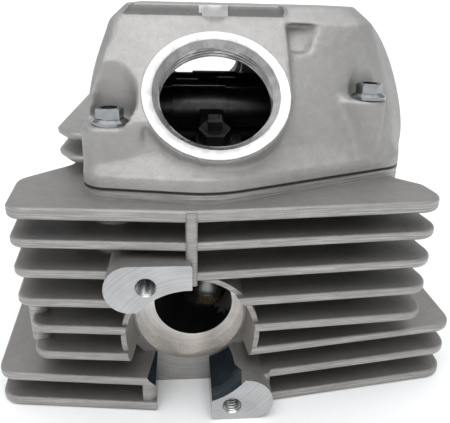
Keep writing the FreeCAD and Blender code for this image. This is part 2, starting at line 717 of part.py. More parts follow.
def valve_spring(valve, mean_radius, wire_radius, turns):
    """Helical spring from the spring seat to the retainer."""
    low = POCKET_S + SEAT_WASHER + wire_radius
    rise = SPRING_TOP_S - wire_radius - low
    helix = Part.makeHelix(rise / turns, rise, mean_radius)
    section = Part.Wire(Part.makeCircle(wire_radius, V(mean_radius, 0, 0), Y_AXIS))
    coil = Part.Wire(helix.Edges).makePipeShell([section], True, True)
    coil.translate(V(0, 0, low))
    return on_valve(coil, valve["side"])


def collet_cone():
    """Tapered ring that locks the retainer on the stem."""
    low = SPRING_TOP_S - 0.5
    high = RETAINER_TOP_S + 0.6
    return turned([(0, low), (4.2, low), (5.4, high), (0, high)])


def retainer(valve):
    under = SPRING_TOP_S
    disc = turned([(0, under - 2.0), (6.4, under - 2.0), (6.4, under), (13.0, under), (13.0, under + 2.2),
                   (8.0, RETAINER_TOP_S), (0, RETAINER_TOP_S)])
    bore = Part.makeCylinder(4.2, 10.0, V(0, 0, under - 5.0))
    return on_valve(disc.cut(collet_cone()).cut(bore), valve["side"])


def collets(valve):
    stem = turned([(0, 50), (STEM_R, 50)] + COLLET_GROOVE + [(STEM_R, 70), (0, 70)])
    cone = collet_cone().cut(stem)
    split = box(-10, 10, -0.4, 0.4, 40, 80)
    return on_valve(cone.cut(split), valve["side"])


# ---- camshaft ----------------------------------------------------------------------------------
def lobe(x_middle, nose_degrees):
    """Cam lobe across X: base circle, nose circle and the tangents between them."""
    nose_r = 5.0
    reach = CAM_BASE_R + CAM_LIFT - nose_r
    flank = math.acos((CAM_BASE_R - nose_r) / reach)

    def at(radius, angle, shift):
        turn = math.radians(nose_degrees)
        y = shift + radius * math.cos(angle)
        z = radius * math.sin(angle)
        return V(x_middle - LOBE_WIDTH / 2, y * math.cos(turn) - z * math.sin(turn),
                 CAM_Z + y * math.sin(turn) + z * math.cos(turn))

    edges = [
        Part.Arc(at(CAM_BASE_R, flank, 0), at(CAM_BASE_R, math.pi, 0), at(CAM_BASE_R, -flank, 0)).toShape(),
        Part.LineSegment(at(CAM_BASE_R, -flank, 0), at(nose_r, -flank, reach)).toShape(),
        Part.Arc(at(nose_r, -flank, reach), at(nose_r, 0, reach), at(nose_r, flank, reach)).toShape(),
        Part.LineSegment(at(nose_r, flank, reach), at(CAM_BASE_R, flank, 0)).toShape(),
    ]
    return Part.Face(Part.Wire(edges)).extrude(V(LOBE_WIDTH, 0, 0))


def camshaft():
    left = BEARING_X[0]
    shoulder_left = left + BEARING_WIDTH
    shoulder_right = BEARING_X[1]
    intake_lobe_x = 2 * VALVE_PLANE_X - LOBE_X
    solids = [
        rod_x(left, 62.0, 0, CAM_Z, BEARING_BORE_R),
        rod_x(shoulder_left, shoulder_right, 0, CAM_Z, BEARING_BORE_R + 1.8),
        rod_x(59.0, SPROCKET_X, 0, CAM_Z, 14.0),
        rod_x(SPROCKET_X, SPROCKET_X + SPROCKET_THICK, 0, CAM_Z, 4.0),
        lobe(LOBE_X, EXHAUST_NOSE),
        lobe(intake_lobe_x, INTAKE_NOSE),
    ]
    shaft = fuse(solids).cut(rod_x(left - 1, 30.0, 0, CAM_Z, 3.5))
    for sign in (-1, 1):
        shaft = shaft.cut(rod_x(SPROCKET_X - 8.0, SPROCKET_X + 1, sign * SPROCKET_BOLT_Y, CAM_Z, BOLT_R))
    return shaft


def cam_sprocket():
    pitch_r = CHAIN_PITCH / (2 * math.sin(math.pi / SPROCKET_TEETH))
    end = SPROCKET_X + SPROCKET_THICK
    wheel = rod_x(SPROCKET_X, end, 0, CAM_Z, pitch_r + 1.3)
    for i in range(SPROCKET_TEETH):
        angle = 2 * math.pi * i / SPROCKET_TEETH
        wheel = wheel.cut(rod_x(SPROCKET_X - 1, end + 1, pitch_r * math.cos(angle),
                                CAM_Z + pitch_r * math.sin(angle), 2.0))
    for i in range(5):
        angle = 2 * math.pi * (i + 0.5) / 5
        wheel = wheel.cut(rod_x(SPROCKET_X - 1, end + 1, 20.5 * math.cos(angle),
                                CAM_Z + 20.5 * math.sin(angle), 4.5))
    for sign in (-1, 1):
        wheel = wheel.cut(rod_x(SPROCKET_X - 1, end + 1, sign * SPROCKET_BOLT_Y, CAM_Z, BOLT_R + 0.3))
    return wheel.cut(rod_x(SPROCKET_X - 1, end + 1, 0, CAM_Z, 4.0))


def sprocket_bolts():
    bolts = []
    for sign in (-1, 1):
        bolt = flange_bolt(SPROCKET_THICK + 8.0)
        bolt.rotate(V(0, 0, 0), Y_AXIS, 90)
        bolt.translate(V(SPROCKET_X + SPROCKET_THICK, sign * SPROCKET_BOLT_Y, CAM_Z))
        bolts.append(bolt)
    return Part.makeCompound(bolts)


def bearing_races(outer):
    races = []
    for x in BEARING_X:
        middle = V(x + BEARING_WIDTH / 2, 0, CAM_Z)
        groove = Part.makeTorus(BALL_PITCH_R, BALL_R + BALL_PLAY, middle, X_AXIS)
        if outer:
            ring = rod_x(x, x + BEARING_WIDTH, 0, CAM_Z, BEARING_R).cut(
                rod_x(x, x + BEARING_WIDTH, 0, CAM_Z, BALL_PITCH_R + 1.3))
        else:
            ring = rod_x(x, x + BEARING_WIDTH, 0, CAM_Z, BALL_PITCH_R - 1.3).cut(
                rod_x(x, x + BEARING_WIDTH, 0, CAM_Z, BEARING_BORE_R))
        races.append(ring.cut(groove))
    return Part.makeCompound(races)


def bearing_balls():
    balls = []
    for x in BEARING_X:
        for i in range(BALL_COUNT):
            angle = 2 * math.pi * i / BALL_COUNT
            y = BALL_PITCH_R * math.cos(angle)
            z = CAM_Z + BALL_PITCH_R * math.sin(angle)
            balls.append(Part.makeSphere(BALL_R, V(x + BEARING_WIDTH / 2, y, z)))
    return Part.makeCompound(balls)


# ---- rockers, drawn for the exhaust side ------------------------------------------------------
def slipper_centre():
    reach = CAM_BASE_R + SLIPPER_GAP + SLIPPER_R
    return reach * math.cos(SLIPPER_ANGLE), CAM_Z + reach * math.sin(SLIPPER_ANGLE)


def arm(x0, x1, start, end, thick):
    """Flat web across X between two (y, z) centres."""
    middle = V(x0, *start)
    run = V(0, end[0] - start[0], end[1] - start[1])
    web = Part.makeBox(x1 - x0, run.Length, thick, V(0, 0, -thick / 2))
    tilt = math.degrees(math.atan2(run.z, run.y))
    web.Placement = FreeCAD.Placement(middle, FreeCAD.Rotation(X_AXIS, tilt))
    return web


def rocker_arm():
    hub = rod_x(HUB_X[0], HUB_X[1], ROCKER_Y, ROCKER_Z, ROCKER_HUB_R)
    slip_y, slip_z = slipper_centre()
    slipper = rod_x(LOBE_X - 4.5, LOBE_X + 4.5, slip_y, slip_z, SLIPPER_R)
    boss_low = along_valve(-1, TIP_S + 5.0)
    boss = Part.makeCylinder(6.4, 9.0, boss_low, valve_axis(-1))
    boss_mid = along_valve(-1, TIP_S + 9.5)
    shaft = (ROCKER_Y, ROCKER_Z)
    tail = arm(LOBE_X - 4.0, LOBE_X + 4.0, shaft, (slip_y, slip_z), 7.0)
    front = arm(VALVE_PLANE_X - 4.5, VALVE_PLANE_X + 4.5, shaft, (boss_mid.y, boss_mid.z), 7.5)
    body = fuse([hub, slipper, boss, tail, front])
    body = body.cut(rod_x(HUB_X[0] - 1, HUB_X[1] + 1, ROCKER_Y, ROCKER_Z, ROCKER_SHAFT_R + RUNNING))
    return body.cut(Part.makeCylinder(ADJUSTER_R, 30.0, along_valve(-1, TIP_S), valve_axis(-1)))


def adjuster_screw():
    foot = TIP_S + LASH
    ball = Part.makeSphere(FOOT_R, V(0, 0, foot + FOOT_R))
    rounding = ball.common(Part.makeCylinder(ADJUSTER_R, FOOT_R, V(0, 0, foot)))
    shank = Part.makeCylinder(ADJUSTER_R, 16.0, V(0, 0, foot + 3.0))
    square = box(-2.4, 2.4, -2.4, 2.4, foot + 19.0, foot + 23.0)
    return on_valve(fuse([rounding, shank, square]), -1)


def adjuster_nut():
    start = TIP_S + 14.0
    nut = hexagon(10.0, start, start + 4.8).cut(Part.makeCylinder(ADJUSTER_R, 10.0, V(0, 0, start - 1)))
    return on_valve(nut, -1)


def rocker_shaft(sign):
    return rod_x(-27.0, BULKHEAD_RIGHT[1], sign * ROCKER_Y, ROCKER_Z, ROCKER_SHAFT_R)


def rocker_spacers():
    """Sleeves that hold each rocker over its cam lobe, between the cover's walls."""
    gap = 0.1
    inner_wall = BULKHEAD_LEFT[1]
    outer_wall = BULKHEAD_RIGHT[0]
    rear_hub = (2 * VALVE_PLANE_X - HUB_X[1], 2 * VALVE_PLANE_X - HUB_X[0])
    spans = [(inner_wall, HUB_X[0] - gap, 1), (HUB_X[1] + gap, outer_wall, 1)]
    spans += [(inner_wall, rear_hub[0] - gap, -1), (rear_hub[1] + gap, outer_wall, -1)]
    sleeves = []
    for x0, x1, sign in spans:
        y = sign * ROCKER_Y
        sleeves.append(rod_x(x0, x1, y, ROCKER_Z, 7.8).cut(rod_x(x0, x1, y, ROCKER_Z, ROCKER_SHAFT_R)))
    return Part.makeCompound(sleeves)


# ---- the assembly --------------------------------------------------------------------------------
def main():
    os.makedirs("parts", exist_ok=True)
    export("cylinder_head", cylinder_head())
    export("rocker_cover", rocker_cover())
    export("cover_bolts", cover_bolts())
    export("cover_dowels", cover_dowels())
    for name, valve in (("exhaust", EXHAUST), ("intake", INTAKE)):
        export(name + "_valve_seat", valve_seat(valve))
        export(name + "_valve_guide", valve_guide(valve))
        export(name + "_stem_seal", stem_seal(valve))
        export(name + "_spring_seat", spring_seat(valve))
        export(name + "_valve", poppet_valve(valve))
        export(name + "_outer_spring", valve_spring(valve, 11.0, 1.8, 4.0))
        export(name + "_inner_spring", valve_spring(valve, 7.9, 1.05, 6.0))
        export(name + "_spring_retainer", retainer(valve))
        export(name + "_collets", collets(valve))
    export("camshaft", camshaft())
    export("cam_bearing_outer_races", bearing_races(True))
    export("cam_bearing_inner_races", bearing_races(False))
    export("cam_bearing_balls", bearing_balls())
    export("cam_sprocket", cam_sprocket())
    export("sprocket_bolts", sprocket_bolts())
    export("exhaust_rocker_shaft", rocker_shaft(1))
    export("intake_rocker_shaft", rocker_shaft(-1))
    export("rocker_spacers", rocker_spacers())
    for name, place in (("exhaust", lambda s: s), ("intake", turned_to_rear)):
        export(name + "_rocker_arm", place(rocker_arm()))
        export(name + "_adjuster_screw", place(adjuster_screw()))
        export(name + "_adjuster_nut", place(adjuster_nut()))


main()
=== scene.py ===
import math
import bpy
import bmesh
from mathutils import Matrix, Vector


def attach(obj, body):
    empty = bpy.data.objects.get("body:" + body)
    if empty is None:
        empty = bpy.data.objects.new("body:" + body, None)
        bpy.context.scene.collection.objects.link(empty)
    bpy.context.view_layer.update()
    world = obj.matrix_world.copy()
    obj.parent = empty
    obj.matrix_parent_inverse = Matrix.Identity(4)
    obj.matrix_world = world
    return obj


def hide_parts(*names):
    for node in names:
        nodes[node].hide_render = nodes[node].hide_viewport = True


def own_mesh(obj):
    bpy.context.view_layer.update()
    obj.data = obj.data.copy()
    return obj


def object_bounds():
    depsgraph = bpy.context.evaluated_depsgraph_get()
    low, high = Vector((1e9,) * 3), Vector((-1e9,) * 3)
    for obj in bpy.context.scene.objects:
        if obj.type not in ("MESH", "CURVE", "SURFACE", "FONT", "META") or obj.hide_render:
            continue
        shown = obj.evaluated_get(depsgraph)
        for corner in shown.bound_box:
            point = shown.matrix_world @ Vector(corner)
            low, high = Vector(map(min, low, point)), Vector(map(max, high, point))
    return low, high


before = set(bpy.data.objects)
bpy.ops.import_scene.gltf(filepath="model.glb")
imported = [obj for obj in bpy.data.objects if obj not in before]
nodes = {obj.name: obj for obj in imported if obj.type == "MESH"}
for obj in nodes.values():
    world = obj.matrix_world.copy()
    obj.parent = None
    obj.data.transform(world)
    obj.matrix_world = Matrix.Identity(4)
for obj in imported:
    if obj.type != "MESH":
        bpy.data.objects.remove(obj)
cad_low, cad_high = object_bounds()

MM = 0.001

# ---- camera: millimetres and degrees ------------------------------------------------------------
LENS = 41.59
CAMERA_PLACE = (-2.6, -231.3, 139.6)
CAMERA_YAW = 5.10
CAMERA_PITCH = 22.32
CAMERA_ROLL = 1.36

# ---- light ------------------------------------------------------------------------------------
FLOOR_CENTRE = 0.0005
FLOOR_FLAT = 3.0
FLOOR_EDGE = 9.0
FLOOR_RISE = 0.05
FLOOR_ROWS = 12
SKY_FADE = (0.60, 0.92)
SKY_LOW = 0.48
SKY_HIGH = 1.7
KEY_STRENGTH = 1.3
KEY_ANGLE = 60.0
KEY_DIRECTION = (0.10, 0.44, -0.90)

# ---- shapes shared with the CAD model, in millimetres -----------------------------------------
SEAM_Z = 82.5
SEAM_DIRT = (0.25, 0.75)
# Strip under the cap that gets a darker copy of the cast finish as painted shade.
CAP_SHADE_Z = 133.6
CAP_SHADE_X = (-23.0, 33.5)
CAP_SHADE_Y = (38.6, 41.8)
CAP_BOSS_Y = 36.6
CAP_BOSS_R = 5.9
VALVE_X = 9.0
OPENING_Y = 61.0
OPENING_Z = 111.1
OPENING_SLOPE = math.radians(43.0)
THREAD_DEPTH = 6.4
THREAD_PITCH = 1.5
BEVEL = 2.4
BEVEL_DEPTH = 1.3
BORE_R = 18.7
SLEEVE_R = 21.0
RIM_FACE_R = 24.45
COVER_VOXEL = 1.1
COVER_SMOOTHING = 4
CREASE_ANGLE = math.radians(40.0)
RIM_GROOVE = 0.6
SLEEVE_GAP = 0.2
SLEEVE_TOP = 0.25
HOLE_THREAD_INNER = 0.88
HOLE_THREAD_GROOVE = 0.11
LUG_THREAD_PITCH = 1.25
LUG_THREAD_DEPTH = 16.0
INTAKE_THREAD_PITCH = 1.0
INTAKE_THREAD_DEPTH = 12.0
NEAR = 0.1
CLOSE = 0.05
CHAMBER_NEAR = 0.4
DUCT_R = 17.0
FACING = 0.9
PORT_Z = 30.4
PORT_FACE_Y = -66.0
PORT_CONE_R = 23.3
RECESS_Y = -57.7
RECESS_R = 20.0
DUCT_BEND_Y = -8.0
RELIEF_TOP = 16.0
LUG_FACE_Y = -88.0
LUG_HOLES = ((14.3, 6.05), (-14.3, 54.75))
LUG_HOLE_R = 3.4
INTAKE_FACE_Y = 87.0
INTAKE_Z = 44.0
INTAKE_HOLE_X = (-24.0, 42.0)
INTAKE_HOLE_R = 2.5
CHAMBER_R = 56.0
CHAMBER_DROP = 34.0
RELIEF_X = (-12.5, 7.2)


# ---- node tree helpers ----------------------------------------------------------------------
class Shader:
    """A material's node tree, with short calls for the nodes that this scene uses."""

    def __init__(self, name):
        self.material = bpy.data.materials.new(name)
        self.material.use_nodes = True
        self.tree = self.material.node_tree
        self.bsdf = self.tree.nodes["Principled BSDF"]
        self.coords = self.tree.nodes.new("ShaderNodeTexCoord")

    def add(self, kind, **settings):
        node = self.tree.nodes.new(kind)
        for key, value in settings.items():
            setattr(node, key, value)
        return node

    def wire(self, source, target):
        """source is a socket, a number or a colour; target is an input socket."""
        if isinstance(source, bpy.types.NodeSocket):
            self.tree.links.new(source, target)
        else:
            target.default_value = source

    def scaled(self, scale, kind="Object"):
        node = self.add("ShaderNodeMapping")
        self.wire(self.coords.outputs[kind], node.inputs["Vector"])
        node.inputs["Scale"].default_value = scale
        return node.outputs["Vector"]

    def noise(self, size, detail=2.0, rough=0.5, stretch=(1, 1, 1)):
        """Noise from 0 to 1 whose blobs are about size millimetres."""
        node = self.add("ShaderNodeTexNoise")
        self.wire(self.scaled(tuple(1000.0 / (size * s) for s in stretch)), node.inputs["Vector"])
        node.inputs["Scale"].default_value = 1.0
        node.inputs["Detail"].default_value = detail
        node.inputs["Roughness"].default_value = rough
        return node.outputs["Fac"]

    def ramp(self, value, low, high, out_low=0.0, out_high=1.0, smooth=True):
        node = self.add("ShaderNodeMapRange")
        node.interpolation_type = "SMOOTHSTEP" if smooth else "LINEAR"
        for key, number in (("Value", value), ("From Min", low), ("From Max", high),
                            ("To Min", out_low), ("To Max", out_high)):
            self.wire(number, node.inputs[key])
        return node.outputs["Result"]

    def math(self, operation, a, b=0.0, c=0.0):
        node = self.add("ShaderNodeMath", operation=operation)
        for socket, value in zip(node.inputs, (a, b, c)):
            self.wire(value, socket)
        return node.outputs[0]

    def mix(self, share, a, b):
        """Colour a where share is 0, b where it is 1."""
        node = self.add("ShaderNodeMix", data_type="RGBA")
        self.wire(share, node.inputs["Factor"])
        self.wire(a, node.inputs["A"])
        self.wire(b, node.inputs["B"])
        return node.outputs["Result"]

    def blend(self, share, a, b):
        """Number a where share is 0, b where it is 1."""
        node = self.add("ShaderNodeMix", data_type="FLOAT")
        self.wire(share, node.inputs["Factor"])
        self.wire(a, node.inputs["A"])
        self.wire(b, node.inputs["B"])
        return node.outputs["Result"]

    def position(self):
        """The three coordinates in metres, at rest."""
        node = self.add("ShaderNodeSeparateXYZ")
        self.wire(self.coords.outputs["Object"], node.inputs["Vector"])
        return node.outputs

    def normal(self):
        node = self.add("ShaderNodeSeparateXYZ")
        self.wire(self.coords.outputs["Normal"], node.inputs["Vector"])
        return node.outputs

    def bump(self, height, depth, below=None):
        """Adds relief of depth millimetres; below is an earlier bump."""
        node = self.add("ShaderNodeBump")
        node.inputs["Strength"].default_value = 1.0
        node.inputs["Distance"].default_value = depth * MM
        self.wire(height, node.inputs["Height"])
        if below is not None:
            self.wire(below, node.inputs["Normal"])
        return node.outputs["Normal"]

    def finish(self, colour, rough, metallic, normal=None):
        self.wire(colour, self.bsdf.inputs["Base Color"])
        self.wire(rough, self.bsdf.inputs["Roughness"])
        self.wire(metallic, self.bsdf.inputs["Metallic"])
        if normal is not None:
            self.wire(normal, self.bsdf.inputs["Normal"])
        return self.material


def grey(value, warmth=0.0):
    """Linear colour; warmth above 0 is yellowish, below 0 bluish."""
    return (value * (1 + warmth), value, value * (1 - warmth), 1.0)


# ---- materials --------------------------------------------------------------------------------
def cast_aluminium(name, value, warmth, grain, streaks_and_sheen, painted_underside_level=1.0):
    """Blasted casting: grain, faint clouds, rubbed streaks on upright faces that are partly painted
    highlight, undersides darkened as painted shade, dark seam.
    """
    s = Shader(name)
    clouds = s.noise(22.0, 3.0)
    mottle = s.noise(3.2, 3.0, 0.6)
    fine = s.noise(0.55, 2.0, 0.7)
    pits = s.noise(0.9, 1.0)
    tone = s.math("ADD", s.ramp(clouds, 0.3, 0.7, -0.25, 0.25), s.ramp(mottle, 0.3, 0.7, -0.22, 0.22))
    tone = s.math("ADD", tone, s.ramp(fine, 0.25, 0.75, -grain, grain, smooth=False))
    share = s.ramp(tone, -1.4, 1.4, 0.0, 1.0, smooth=False)
    colour = s.mix(share, grey(value * 0.74, warmth), grey(value * 1.26, warmth * 0.7))
    rough = s.ramp(fine, 0.2, 0.8, 0.50, 0.66)
    nz = s.math("ABSOLUTE", s.normal()[2])
    # Rubbed streaks on upright faces, partly real wear and partly painted highlight: they lighten upright
    # faces towards a much paler grey.
    upright = s.ramp(nz, 0.35, 0.8, 1.0, 0.0)
    lines = s.ramp(s.noise(0.55, 2.0, 0.6, (30, 30, 0.45)), 0.42, 0.66)
    rubbed_and_sheen = s.math("MULTIPLY", s.math("MULTIPLY", lines, upright), streaks_and_sheen)
    colour = s.mix(rubbed_and_sheen, colour, grey(min(value * 1.9, 0.9), warmth * 0.4))
    rough = s.blend(rubbed_and_sheen, rough, 0.4)
    # Painted shade: downward faces are mixed towards black, by an amount the caller gives.
    facing_up = s.ramp(s.normal()[2], -0.9, -0.4)
    colour = s.mix(facing_up, s.mix(painted_underside_level, grey(0.0), colour), colour)
    from_seam = s.math("ABSOLUTE", s.math("SUBTRACT", s.position()[2], SEAM_Z * MM))
    colour = s.mix(s.ramp(from_seam, SEAM_DIRT[0] * MM, SEAM_DIRT[1] * MM, 0.9, 0.0), colour, grey(0.01))
    relief = s.bump(mottle, 0.18)
    relief = s.bump(fine, 0.10, relief)
    relief = s.bump(s.ramp(pits, 0.25, 0.36), 0.05, relief)
    return s.finish(colour, rough, 0.82, relief)


def machined_aluminium(name, value, rough, centre, axis_scale, spacing, warmth=0.0):
    """Faced surface with fine tool marks running round centre, an (x, y, z) in metres."""
    s = Shader(name)
    shift = s.add("ShaderNodeVectorMath", operation="SUBTRACT")
    s.wire(s.coords.outputs["Object"], shift.inputs[0])
    shift.inputs[1].default_value = centre
    squeeze = s.add("ShaderNodeVectorMath", operation="MULTIPLY")
    s.wire(shift.outputs[0], squeeze.inputs[0])
    squeeze.inputs[1].default_value = axis_scale
    reach = s.add("ShaderNodeVectorMath", operation="LENGTH")
    s.wire(squeeze.outputs[0], reach.inputs[0])
    radius = reach.outputs["Value"]
    rings = s.add("ShaderNodeTexNoise", noise_dimensions="1D")
    s.wire(s.math("MULTIPLY", radius, 1000.0 / spacing), rings.inputs["W"])
    rings.inputs["Scale"].default_value = 1.0
    rings.inputs["Detail"].default_value = 3.0
    cloud = s.noise(7.0, 3.0)
    speck = s.noise(0.5, 2.0)
    ringed = s.ramp(rings.outputs["Fac"], 0.3, 0.7, 0.0, 0.55)
    clouded = s.ramp(cloud, 0.3, 0.7, 0.0, 0.45)
    share = s.math("ADD", ringed, clouded)
    colour = s.mix(share, grey(value * 0.80, warmth), grey(min(value * 1.16, 0.97), warmth))
    relief = s.bump(rings.outputs["Fac"], 0.02)
    relief = s.bump(speck, 0.015, relief)
    return s.finish(colour, s.ramp(cloud, 0.3, 0.7, rough - 0.05, rough + 0.08), 0.75, relief)


def plain_metal(name, value, warmth, rough, scratch=0.02):
    """Turned or ground steel with faint clouds and fine scratches."""
    s = Shader(name)
    cloud = s.noise(4.0, 3.0)
    fine = s.noise(0.3, 2.0, 0.6, (1, 9, 9))
    colour = s.mix(s.ramp(cloud, 0.3, 0.7), grey(value * 0.85, warmth), grey(value * 1.12, warmth))
    return s.finish(colour, s.ramp(fine, 0.3, 0.7, rough - 0.06, rough + 0.1), 1.0, s.bump(fine, scratch))


def rubber(name):
    s = Shader(name)
    cloud = s.noise(1.5, 3.0)
    colour = s.mix(s.ramp(cloud, 0.3, 0.7), grey(0.018), grey(0.035))
    return s.finish(colour, s.ramp(cloud, 0.3, 0.7, 0.55, 0.75), 0.0, s.bump(cloud, 0.04))


# ---- camera and studio --------------------------------------------------------------------------
def make_camera():
    data = bpy.data.cameras.new("camera")
    data.sensor_width = 36.0
    data.lens = LENS
    data.clip_start = 0.01
    data.clip_end = 10.0
    camera = bpy.data.objects.new("camera", data)
    bpy.context.scene.collection.objects.link(camera)
    yaw, pitch, roll = (math.radians(a) for a in (CAMERA_YAW, CAMERA_PITCH, CAMERA_ROLL))
    ahead = Vector((math.sin(yaw) * math.cos(pitch), math.cos(yaw) * math.cos(pitch), -math.sin(pitch)))
    turn = ahead.to_track_quat("-Z", "Y").to_matrix().to_4x4() @ Matrix.Rotation(roll, 4, "Z")
    camera.matrix_world = Matrix.Translation(Vector(CAMERA_PLACE) * MM) @ turn
    bpy.context.scene.camera = camera


def make_floor():
    """Pale sheet, flat round the object and gently rising far away."""
    s = Shader("floor")
    cloud = s.noise(300.0, 2.0)
    material = s.finish(s.mix(cloud, grey(0.90), grey(0.94)), 0.7, 0.0)
    around = 96
    step = (FLOOR_EDGE - FLOOR_FLAT) / FLOOR_ROWS
    radii = [FLOOR_CENTRE] + [FLOOR_FLAT + step * row for row in range(FLOOR_ROWS + 1)]
    rows = [plain_ring(r / MM, FLOOR_RISE * max(r - FLOOR_FLAT, 0.0) ** 2 / MM, around) for r in radii]
    lathe("floor", rows, around, Matrix.Translation((0, 0, cad_low.z)), material)


def make_sky():
    """Soft tent of light: dark round the horizon, bright overhead."""
    world = bpy.data.worlds.new("studio")
    world.use_nodes = True
    tree = world.node_tree
    coords = tree.nodes.new("ShaderNodeTexCoord")
    split = tree.nodes.new("ShaderNodeSeparateXYZ")
    fade = tree.nodes.new("ShaderNodeMapRange")
    fade.interpolation_type = "SMOOTHSTEP"
    tree.links.new(coords.outputs["Generated"], split.inputs["Vector"])
    tree.links.new(split.outputs["Z"], fade.inputs["Value"])
    for key, number in (("From Min", SKY_FADE[0]), ("From Max", SKY_FADE[1]), ("To Min", SKY_LOW),
                        ("To Max", SKY_HIGH)):
        fade.inputs[key].default_value = number
    background = tree.nodes["Background"]
    background.inputs["Color"].default_value = (0.96, 0.98, 1.0, 1.0)
    tree.links.new(fade.outputs["Result"], background.inputs["Strength"])
    bpy.context.scene.world = world


def make_key_light():
    data = bpy.data.lights.new("key", "SUN")
    data.energy = KEY_STRENGTH
    data.angle = math.radians(KEY_ANGLE)
    lamp = bpy.data.objects.new("key", data)
    bpy.context.scene.collection.objects.link(lamp)
    lamp.rotation_mode = "QUATERNION"
    lamp.rotation_quaternion = Vector(KEY_DIRECTION).to_track_quat("-Z", "Y")


# ---- pieces -----------------------------------------------------------------------------------------
def piece(name, vertices, faces, *materials):
    """New smooth-shaded object from coordinates in metres."""
    mesh = bpy.data.meshes.new(name)
    mesh.from_pydata(vertices, [], faces)
    mesh.update()
    mesh.set_sharp_from_angle(angle=CREASE_ANGLE)
    return shown(name, mesh, *materials)


def shown(name, mesh, *materials):
    mesh.materials.clear()
    for material in materials:
        mesh.materials.append(material)
    for polygon in mesh.polygons:
        polygon.use_smooth = True
    obj = bpy.data.objects.new(name, mesh)
    bpy.context.scene.collection.objects.link(obj)
    return obj


def with_modifiers(mesh, settings):
    """The mesh after a list of (type, {setting: value}) modifiers."""
    temporary = bpy.data.objects.new("temporary", mesh)
    bpy.context.scene.collection.objects.link(temporary)
    for kind, values in settings:
        modifier = temporary.modifiers.new(kind.lower(), kind)
        for key, value in values.items():
            setattr(modifier, key, value)
    graph = bpy.context.evaluated_depsgraph_get()
    result = bpy.data.meshes.new_from_object(temporary.evaluated_get(graph))
    bpy.data.objects.remove(temporary)
    return result


def opening_matrix(side):
    """Places a shape drawn about Z, outward along +Z, on a tappet opening; side is -1 or 1."""
    n = Vector((0.0, side * math.cos(OPENING_SLOPE), math.sin(OPENING_SLOPE)))
    across = Vector((-side, 0.0, 0.0))
    uphill = n.cross(across)
    centre = Vector((VALVE_X, side * OPENING_Y, OPENING_Z)) * MM
    turn = Matrix((across, uphill, n)).transposed().to_4x4()
    return Matrix.Translation(centre) @ turn


def cover_surface(centre, normal):
    """Number of the cover's material on a face: 0 blasted, 1 the strip under the cap in a darker copy as
    painted shade, 2 its boss in a lighter copy as painted highlight.
    """
    x, y, z = centre / MM
    if z < CAP_SHADE_Z or normal.z > 0.75:
        return 0
    if math.hypot(x - VALVE_X, abs(y) - CAP_BOSS_Y) < CAP_BOSS_R:
        return 2
    between = CAP_SHADE_X[0] < x < CAP_SHADE_X[1] and CAP_SHADE_Y[0] < abs(y) < CAP_SHADE_Y[1]
    return 1 if between else 0


def cover_casting(*materials):
    """The cover's CAD shape with the soft edges of a casting; the threaded rims are pieces of their own."""
    mesh = nodes["rocker_cover"].data.copy()
    below = (SEAM_Z - 3.0) * MM
    frames = [opening_matrix(side) for side in (-1, 1)]
    inverses = [frame_.inverted() for frame_ in frames]
    for vertex in mesh.vertices:
        if vertex.co.z < (SEAM_Z + 0.05) * MM:
            vertex.co.z = below
        for forward, back in zip(frames, inverses):
            local = back @ vertex.co
            radius = math.hypot(local.x, local.y)
            in_bore = -(THREAD_DEPTH + 0.2) * MM < local.z < 0.5 * MM
            if in_bore and 15.0 * MM < radius < (SLEEVE_R + 0.3) * MM:
                stretch = SLEEVE_R * MM / radius
                vertex.co = forward @ Vector((local.x * stretch, local.y * stretch, local.z))
    soft = with_modifiers(mesh, [
        ("REMESH", {"mode": "VOXEL", "voxel_size": COVER_VOXEL * MM}),
        ("SMOOTH", {"factor": 0.5, "iterations": COVER_SMOOTHING}),
    ])
    cut = bmesh.new()
    cut.from_mesh(soft)
    geometry = cut.verts[:] + cut.edges[:] + cut.faces[:]
    bmesh.ops.bisect_plane(cut, geom=geometry, plane_co=(0, 0, SEAM_Z * MM), plane_no=(0, 0, 1),
                           clear_inner=True)
    border = [edge for edge in cut.edges if edge.is_boundary]
    bmesh.ops.triangle_fill(cut, edges=border, use_beauty=True)
    bmesh.ops.recalc_face_normals(cut, faces=cut.faces[:])
    cut.to_mesh(soft)
    cut.free()
    obj = shown("cover_casting", soft, *materials)
    for polygon in soft.polygons:
        polygon.material_index = cover_surface(polygon.center, polygon.normal)
    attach(obj, "head")
    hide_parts("rocker_cover")
    return obj


def threaded_wall(radius, groove, pitch, top, bottom, around):
    """Rows of (radius, angle share, height) for a helical inside thread, from top down."""
    rows = []
    steps = max(2, round((top - bottom) / pitch * 8))
    for row in range(steps + 1):
        z = top + (bottom - top) * row / steps
        ring = []
        for i in range(around):
            phase = (z / pitch - i / around) % 1.0
            tooth = min(1.0, max(0.0, 1.6 - abs(phase - 0.5) * 4.4))
            ring.append((radius + groove * tooth, i / around, z))
        rows.append(ring)
    return rows


def plain_ring(radius, z, around):
    return [(radius, i / around, z) for i in range(around)]


def lathe(name, rows, around, matrix, material):
    """Closed-round surface through rows of (radius, angle share, height) in millimetres."""
    vertices = []
    for row in rows:
        for radius, share, z in row:
            angle = 2 * math.pi * share
            vertices.append(matrix @ (Vector((radius * math.cos(angle), radius * math.sin(angle), z)) * MM))
    faces = []
    for row in range(len(rows) - 1):
        for i in range(around):
            a = row * around + i
            b = row * around + (i + 1) % around
            faces.append((a, b, b + around, a + around))
    return piece(name, vertices, faces, material)


def round_loft(rows):
    """Joins the last row to the first, so that the lathed piece is closed."""
    return rows + [rows[0]]


